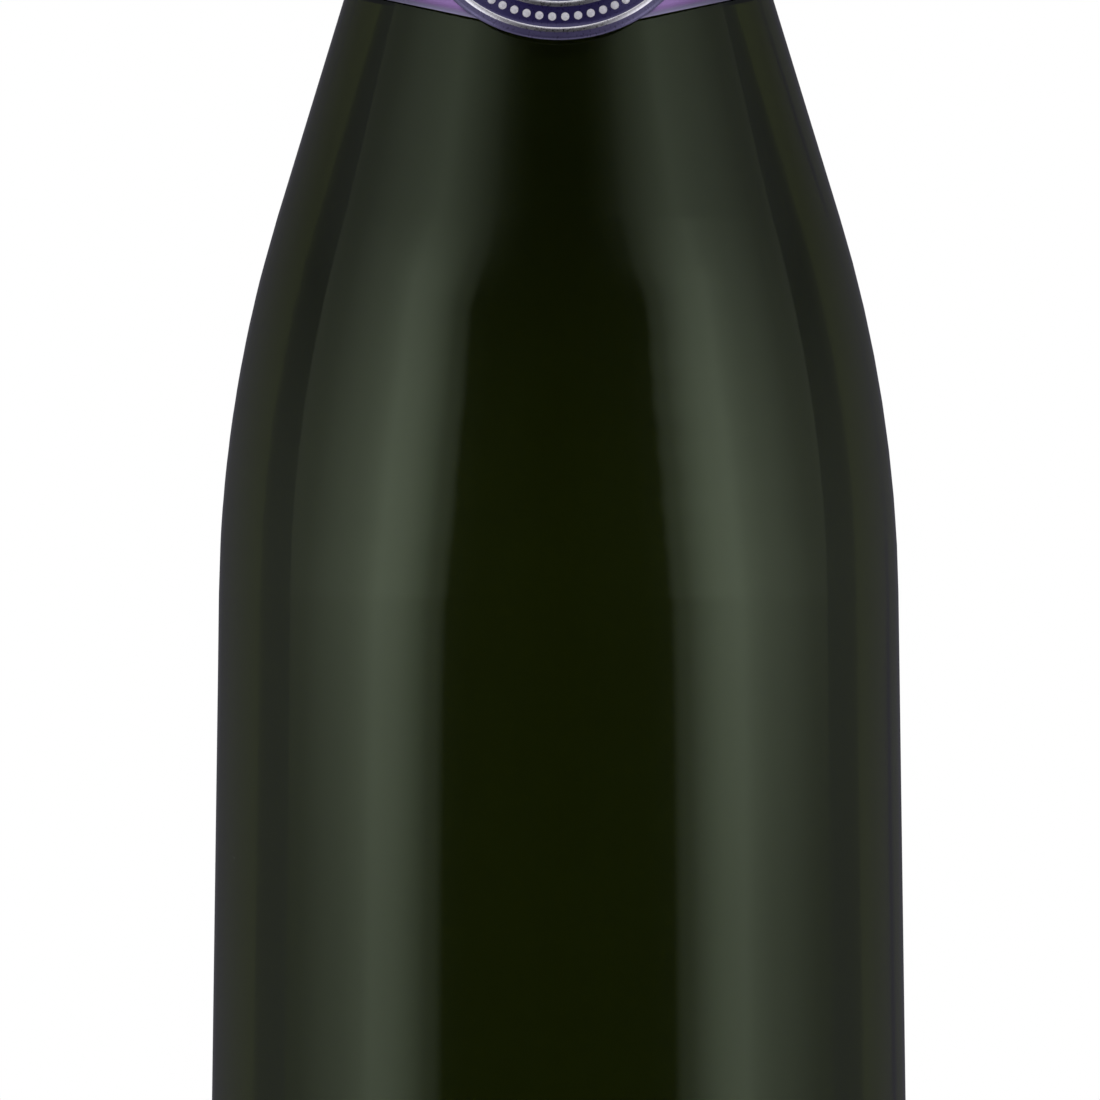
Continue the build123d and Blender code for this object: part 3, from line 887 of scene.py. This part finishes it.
# Inset from the oval's edge and height over its face, in millimetres, from its back's middle to its front's.
shield_line = [
    (14.5, -0.48), (0.0, -0.48), (0.0, -0.1), (0.12, 0.05), (0.5, 0.1), (0.9, 0.03), (1.0, 0.04),
    (1.1, 0.06), (1.35, 0.1), (1.6, 0.06), (1.7, 0.0), (4.2, 0.0), (4.3, 0.05), (4.6, 0.09), (4.9, 0.05),
    (5.0, 0.0), (14.5, 0.05),
]
shield_cuts = [8, 1, 1, 1, 1, 1, 1, 1, 1, 1, 4, 1, 1, 1, 1, 12]
shield_steps = 200
rim_to = 1.05 * mm
silver_to = 1.65 * mm
inner_from = 4.25 * mm
inner_to = 4.95 * mm
bead_count = 56
bead_inset = 2.95 * mm
bead_size = 0.55 * mm
bead_depth = 0.5
grape_size = 1.05 * mm
grape_depth = 0.6
grape_rows = (4, 5, 4, 3, 2, 1)
grape_top = 0.6 * mm
grape_across = 1.75 * grape_size
grape_down = 1.5 * grape_size
leaf_size = 3.3 * mm
leaf_up = 4.9 * mm
leaf_steps = 100
leaf_lobes = 5
leaf_teeth = 15
leaf_body = 0.82
leaf_lobe = 0.13
leaf_tooth = 0.05
leaf_edge = 0.25 * mm
leaf_thick = 0.3 * mm
leaf_dish = 0.25 * mm
leaf_off = 0.04 * mm
print_cloud = 5 * mm
print_grain_height = 0.012 * mm
sheen_varies = 0.1
shield_navy = "#221b4e"
shield_navy_light = "#352c69"
rim_violet = "#625b86"
rim_violet_deep = "#4a456c"
silver_white = "#f4f2f8"
silver_grey = "#c9c6d4"


def press_on(mesh):
    """Wraps flat work, drawn with X across, Z up and its relief towards -Y, on the collar's front."""
    for point in mesh.verts:
        radius = neck_radius(collar_middle + point.co.z, shield_off) - point.co.y
        point.co.y = -sqrt(radius**2 - point.co.x**2)
        point.co.z += collar_middle


def embossed_print(name, colour_one, colour_two, metal, sheen):
    """Printed foil paper, struck with a brass die and varnished: crisp relief with a satin shine."""
    material = blank(name)
    spot = add(material, "TexCoord", output="Object")
    grain = add(material, "TexNoise", {"Vector": spot, "Scale": 1 / paper_grain, "Detail": 3.0})
    cloud = add(material, "TexNoise", {"Vector": spot, "Scale": 1 / print_cloud})
    colour = blend(material, cloud, colour_one, colour_two)
    rough = spread(material, grain, least=sheen, most=sheen + sheen_varies)
    normal = add(material, "Bump", {"Height": grain, "Distance": print_grain_height})
    finish = {"Metallic": metal, "Coat Weight": 0.5, "Coat Roughness": 0.15}
    give_surface(material, colour, rough, normal, finish)
    return material


navy_print = embossed_print("navy_ink_on_foil_paper", shield_navy, shield_navy_light, metal=0.4, sheen=0.25)
rim_print = embossed_print("violet_ink_on_foil_paper", rim_violet_deep, rim_violet, metal=0.5, sheen=0.25)
silver_print = embossed_print("bare_silver_foil_paper", silver_grey, silver_white, metal=1.0, sheen=0.24)
pearl_print = embossed_print("pearl_white_ink", silver_grey, silver_white, metal=0.1, sheen=0.25)

mesh = bmesh.new()
line = [(shield_half_height - inset * mm, rise * mm) for inset, rise in shield_line]
wire_line(mesh, line, shield_cuts)
turned(mesh, shield_steps)
# The first material is the dark band's, the second the rim's and the third the rings'.
for face in mesh.faces:
    middle = face.calc_center_median()
    inset = shield_half_height - middle.xy.length
    if inset < rim_to:
        face.material_index = 1
    elif inset < silver_to or inner_from < inset < inner_to:
        face.material_index = 2
for point in mesh.verts:
    turn = atan2(point.co.y, point.co.x)
    up = point.co.xy.length
    wide = up + shield_spare * min(1, up / shield_round)
    point.co = (wide * cos(turn), -point.co.z, up * sin(turn))
bmesh.ops.recalc_face_normals(mesh, faces=mesh.faces[:])
press_on(mesh)
shield = made("medallion_shield", mesh, [navy_print, rim_print, silver_print], "bottle")
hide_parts("collar_medallion")

mesh = bmesh.new()
for i in range(bead_count):
    turn = 2 * pi * (i + 0.5) / bead_count
    across = (shield_half_width - bead_inset) * cos(turn)
    up = (shield_half_height - bead_inset) * sin(turn)
    bead = bmesh.ops.create_icosphere(mesh, subdivisions=2, radius=bead_size)["verts"]
    bmesh.ops.scale(mesh, vec=(1, bead_depth, 1), verts=bead)
    bmesh.ops.translate(mesh, vec=(across, 0, up), verts=bead)
press_on(mesh)
made("medallion_beads", mesh, [pearl_print], "bottle")

mesh = bmesh.new()
for row, count in enumerate(grape_rows):
    for i in range(count):
        across = (i - (count - 1) / 2) * grape_across
        up = grape_top - row * grape_down
        grape = bmesh.ops.create_icosphere(mesh, subdivisions=3, radius=grape_size)["verts"]
        bmesh.ops.scale(mesh, vec=(1, grape_depth, 1), verts=grape)
        bmesh.ops.translate(mesh, vec=(across, 0, up), verts=grape)
press_on(mesh)
made("medallion_grapes", mesh, [pearl_print], "bottle")

mesh = bmesh.new()
bmesh.ops.create_circle(mesh, cap_ends=True, segments=leaf_steps, radius=leaf_size)
for point in mesh.verts:
    turn = atan2(point.co.y, point.co.x) - pi / 2
    point.co *= leaf_body + leaf_lobe * cos(leaf_lobes * turn) + leaf_tooth * cos(leaf_teeth * turn)
bmesh.ops.inset_region(mesh, faces=mesh.faces[:], thickness=leaf_edge, depth=leaf_thick)
blade = max(mesh.faces, key=lambda face: len(face.verts))
middle = bmesh.ops.poke(mesh, faces=[blade])["verts"]
bmesh.ops.translate(mesh, vec=(0, 0, -leaf_dish), verts=middle)
bmesh.ops.recalc_face_normals(mesh, faces=mesh.faces[:])
for point in mesh.verts:
    point.co = (point.co.x, -point.co.z - leaf_off, point.co.y + leaf_up)
press_on(mesh)
made("medallion_leaf", mesh, [pearl_print], "bottle")


# Studio. A pale floor under a white surround, and a tall curved diffuser on each side. A ring of dark cloth
# behind them is seen by reflections alone, and keeps the middle of the glass black.
floor_size = 4.0
floor_white = "#f0f0ef"
floor_white_warm = "#f6f5f3"
floor_mottle = 80 * mm
floor_fill = 0.12
floor_near = 0.5
floor_far = 1.1
half_turn = 180
panel_distance = 1.0
panel_foot = 10 * mm
panel_height = 1.5
panel_tint = (1, 1, 1.02)
# Angle from the front in degrees, and strength, low on the diffusers and high on them.
panel_stops = [
    (12, 0.02), (30, 0.03), (38, 0.07), (41, 0.42), (44.4, 0.55), (48, 0.9), (51.7, 1.2), (56, 1.48),
    (58.5, 1.55), (64, 1.65), (69, 1.3), (75.5, 1.0), (81.6, 0.83), (88, 0.64), (94.8, 0.45), (102, 0.36),
]
panel_stops_high = [
    (12, 0.02), (22, 0.034), (26.7, 0.057), (31.7, 0.125), (36.8, 0.225), (42, 0.45), (47, 0.64),
    (52.3, 0.8), (57.6, 0.93), (63, 1.12), (68.5, 1.04), (74.2, 0.95), (80, 0.84), (85.6, 0.72), (91, 0.58),
    (97, 0.46), (102, 0.42),
]
cloth_distance = 2.0
cloth_foot = 4 * mm
cloth_height = 2.2
cloth_inside = 0.6
cloth_steps = 96
cloth_tint = (1, 0.98, 1.15)
cloth_stops = [
    (0, 0.015), (30, 0.03), (100, 0.36), (110, 0.27), (119, 0.21), (128, 0.19), (141, 0.155), (160, 0.1),
    (180, 0.1),
]
# Height over distance: the most that is told apart, and where the low stops give way to the high ones.
highest = 1.5
high_from = 0.62
high_to = 0.8
# Height over distance, and the share of the strength that is left there.
panel_fade = [(0, 0.74), (0.08, 0.78), (0.15, 1.08), (0.28, 1.06), (0.45, 0.96), (0.8, 0.64), (1.5, 0.4)]
cloth_fade = [(0, 0.74), (0.08, 0.78), (0.2, 0.74), (0.27, 0.66), (0.36, 0.55), (0.47, 0.72), (1.5, 0.5)]
# Height over distance, and how many degrees the pattern leans forward there.
lean_stops = [(0, 0), (0.11, 0), (0.22, 3), (0.45, 5), (0.6, 4.5), (0.78, 12), (1.5, 12)]
surround_light = 0.85


def staged(name, mesh, material):
    """A piece of the set."""
    piece = placed(name, mesh, [material])
    return piece


def seen(material):
    """1 for rays from the camera, from gloss and through glass, and 0 for those that light the rest."""
    to_camera = add(material, "LightPath", output="Is Camera Ray")
    to_gloss = add(material, "LightPath", output="Is Glossy Ray")
    to_glass = add(material, "LightPath", output="Is Transmission Ray")
    either = compute(material, "MAXIMUM", to_camera, to_gloss)
    return compute(material, "MAXIMUM", either, to_glass)


def graded(material, share, stops, longest, tint):
    """Colours by stops of (place, strength), where the places run to this longest one."""
    # A new ramp has two stops, so only the rest are added.
    colour = add(material, "ValToRGB", {0: share})
    elements = colour.node.color_ramp.elements
    for i, (place, strength) in enumerate(stops):
        stop = elements[i] if i < 2 else elements.new(1)
        stop.position = place / longest
        stop.color = [strength * channel for channel in tint] + [1]
    return colour


def glowing(name, distance, stops, stops_high, fade_stops, tint):
    """A glow that depends on the angle from the front and on the height, and leans forward as it rises."""
    material = blank(name)
    spot = add(material, "TexCoord", output="Object")
    x = add(material, "SeparateXYZ", {0: spot}, "X")
    y = add(material, "SeparateXYZ", {0: spot}, "Y")
    z = add(material, "SeparateXYZ", {0: spot}, "Z")
    side = compute(material, "ABSOLUTE", x)
    front = compute(material, "MULTIPLY", y, -1)
    angle = compute(material, "ARCTAN2", side, front)
    angle = compute(material, "DIVIDE", angle, pi)
    rise = compute(material, "DIVIDE", z, distance)
    high = rescale(material, rise, high_from, high_to)
    rise = compute(material, "DIVIDE", rise, highest)
    lean = graded(material, rise, lean_stops, highest, (1 / half_turn,) * 3)
    angle = compute(material, "ADD", angle, lean)
    low_glow = graded(material, angle, stops, half_turn, tint)
    high_glow = graded(material, angle, stops_high, half_turn, tint)
    colour = blend(material, high, low_glow, high_glow)
    fade = graded(material, rise, fade_stops, highest, (1, 1, 1))
    glow = add(material, "Emission", {"Color": colour, "Strength": fade})
    add(material, "OutputMaterial", {"Surface": glow})
    return material


# Matt white board with a faint mottle. It fades into the white surround away from the bottle.
board = blank("matt_white_board")
spot = add(board, "TexCoord", output="Object")
mottle = add(board, "TexNoise", {"Vector": spot, "Scale": 1 / floor_mottle, "Detail": 3.0})
colour = blend(board, mottle, floor_white, floor_white_warm)
lit = add(board, "BsdfPrincipled", {"Base Color": colour, "Roughness": 0.85, "Specular IOR Level": 0.2})
shown = seen(board)
fill = compute(board, "MULTIPLY", shown, floor_fill)
fill = add(board, "Emission", {"Strength": fill})
lit = add(board, "AddShader", {0: lit, 1: fill})
out = add(board, "VectorMath", {0: spot}, "Value", operation="LENGTH")
away = rescale(board, out, floor_near, floor_far, interpolation_type="SMOOTHSTEP")
away = compute(board, "MULTIPLY", away, shown)
white = add(board, "Emission", {"Strength": 1.0})
surface = add(board, "MixShader", {0: away, 1: lit, 2: white})
add(board, "OutputMaterial", {"Surface": surface})

mesh = bmesh.new()
bmesh.ops.create_circle(mesh, cap_ends=True, segments=96, radius=floor_size)
staged("floor", mesh, board)

# White cloth stretched over a curved frame and lit from behind.
panel_glow = glowing("diffuser_glow", panel_distance, panel_stops, panel_stops_high, panel_fade, panel_tint)
for side in (-1, 1):
    mesh = bmesh.new()
    start = side * radians(panel_stops[0][0])
    foot = mesh.verts.new(at_azimuth(start, panel_distance, 0, panel_foot))
    head = mesh.verts.new(at_azimuth(start, panel_distance, 0, panel_height))
    bmesh.ops.spin(
        mesh,
        geom=[foot, head, mesh.edges.new((foot, head))],
        cent=(0, 0, 0),
        axis=(0, 0, side),
        angle=radians(panel_stops[-1][0] - panel_stops[0][0]),
        steps=36,
        use_merge=False,
    )
    panel = staged("diffuser_right" if side > 0 else "diffuser_left", mesh, panel_glow)
    panel.visible_camera = False
    panel.visible_transmission = False
    panel.visible_shadow = False

# Dark cloth, on the floor round the bottle and up all round, with the little light that falls on it.
cloth_glow = glowing("dark_cloth", cloth_distance, cloth_stops, cloth_stops, cloth_fade, cloth_tint)
cloth_glow.cycles.emission_sampling = "NONE"
mesh = bmesh.new()
cloth_line = [(cloth_inside, cloth_foot), (cloth_distance, cloth_foot), (cloth_distance, cloth_height)]
wire_line(mesh, cloth_line, [1, 1])
turned(mesh, cloth_steps)
cloth = staged("dark_cloth_ring", mesh, cloth_glow)
cloth.visible_camera = False
cloth.visible_diffuse = False
cloth.visible_transmission = False
cloth.visible_shadow = False

# White to the camera, in gloss and through glass, and a plain level of light on the rest.
surround = bpy.data.worlds.new("white_surround")
surround.use_nodes = True
surround.node_tree.nodes.clear()
level = rescale(surround, seen(surround), 0, 1, least=surround_light, most=1)
sky = add(surround, "Background", {"Color": (1, 1, 1, 1), "Strength": level})
add(surround, "OutputWorld", {"Surface": sky})
bpy.context.scene.world = surround


# Camera. In front, as high as the medallion's foot, with a long lens that looks a little down. It takes in
# the bottle from its collar's foot to low on its body.
picture_width = 138.95 * mm
picture_middle = 129.6 * mm
axis_offset = 1.09 * mm
camera_distance = 4.0
camera_height = 194 * mm
sensor_width = 36

lens = bpy.data.cameras.new("camera")
lens.sensor_width = sensor_width
lens.lens = sensor_width * camera_distance / picture_width
camera = bpy.data.objects.new("camera", lens)
camera.location = (-axis_offset, -camera_distance, camera_height)
look_down = atan2(camera_height - picture_middle, camera_distance)
camera.rotation_euler = (pi / 2 - look_down, 0, 0)
bpy.context.scene.collection.objects.link(camera)
bpy.context.scene.camera = camera
bpy.context.scene.view_settings.view_transform = "Standard"
